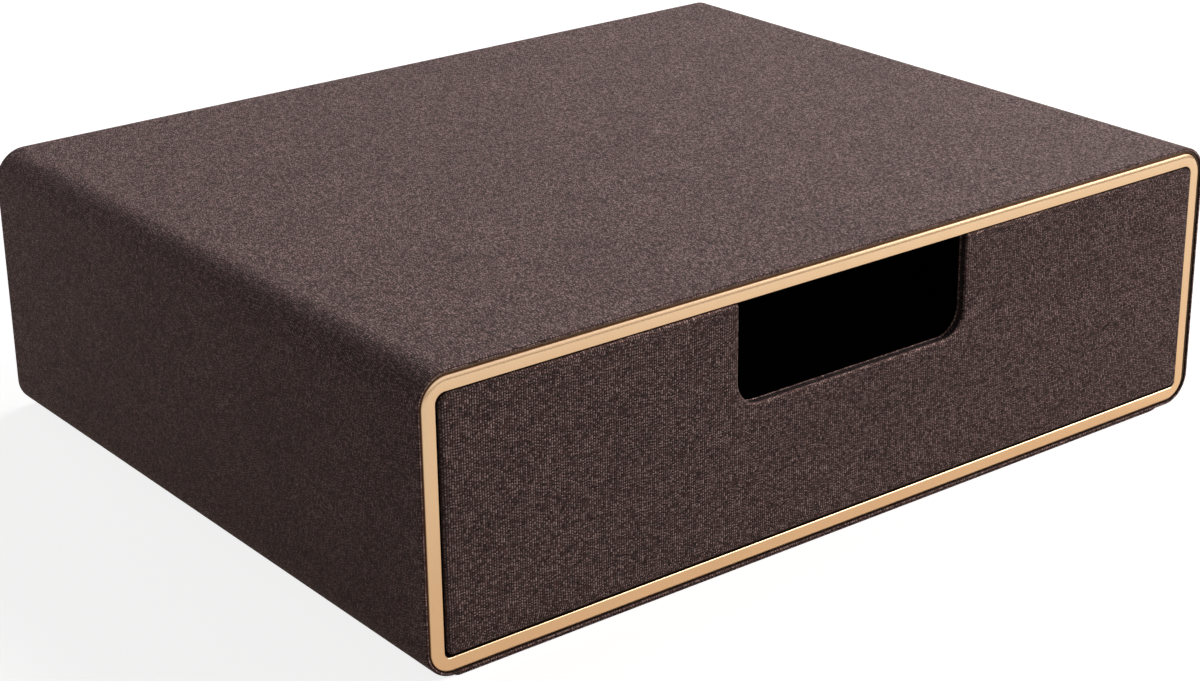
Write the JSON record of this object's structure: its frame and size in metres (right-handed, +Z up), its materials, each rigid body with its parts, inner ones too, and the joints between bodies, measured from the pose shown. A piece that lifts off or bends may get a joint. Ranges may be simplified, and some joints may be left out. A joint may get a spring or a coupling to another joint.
{
  "type": "file box with drawer",
  "caption": "Cloth-covered board box with rounded long edges, a metal frame round its open front and a sliding drawer with a finger cut-out.",
  "frame": {"origin": "under the middle of the box, on the surface it stands on", "axes": "+Z up, the drawer opens towards -Y, +X to the right as seen from the front"},
  "size_m": [0.33, 0.2628, 0.0965],
  "materials": {
    "case_cloth": "dark brown slub-weave cloth",
    "drawer_cloth": "plain dark cloth",
    "lining": "matt near-black lining",
    "board": "bare fibreboard",
    "trim_metal": "satin pale gold"
  },
  "bodies": {
    "case": {"case_top_board": "board", "case_bottom_board": "board", "case_left_board": "board", "case_right_board": "board", "case_back_board": "board", "case_cover": "case_cloth", "case_back_cover": "case_cloth", "base_sheet": "case_cloth", "trim_frame": "trim_metal", "case_top_lining": "lining", "case_bottom_lining": "lining", "case_left_lining": "lining", "case_right_lining": "lining", "case_back_lining": "lining"},
    "drawer": {"drawer_front_board": "board", "drawer_front_cover": "case_cloth", "drawer_front_lining": "lining", "drawer_left_board": "board", "drawer_right_board": "board", "drawer_back_board": "board", "drawer_bottom_board": "board", "drawer_body_cover": "drawer_cloth", "drawer_back_cover": "drawer_cloth", "drawer_floor_lining": "lining"}
  },
  "joints": [
    {"name": "drawer_slide", "type": "slide", "parent": "case", "child": "drawer", "axis": [0, -1, 0], "range_m": [0, 0.215]}
  ]
}
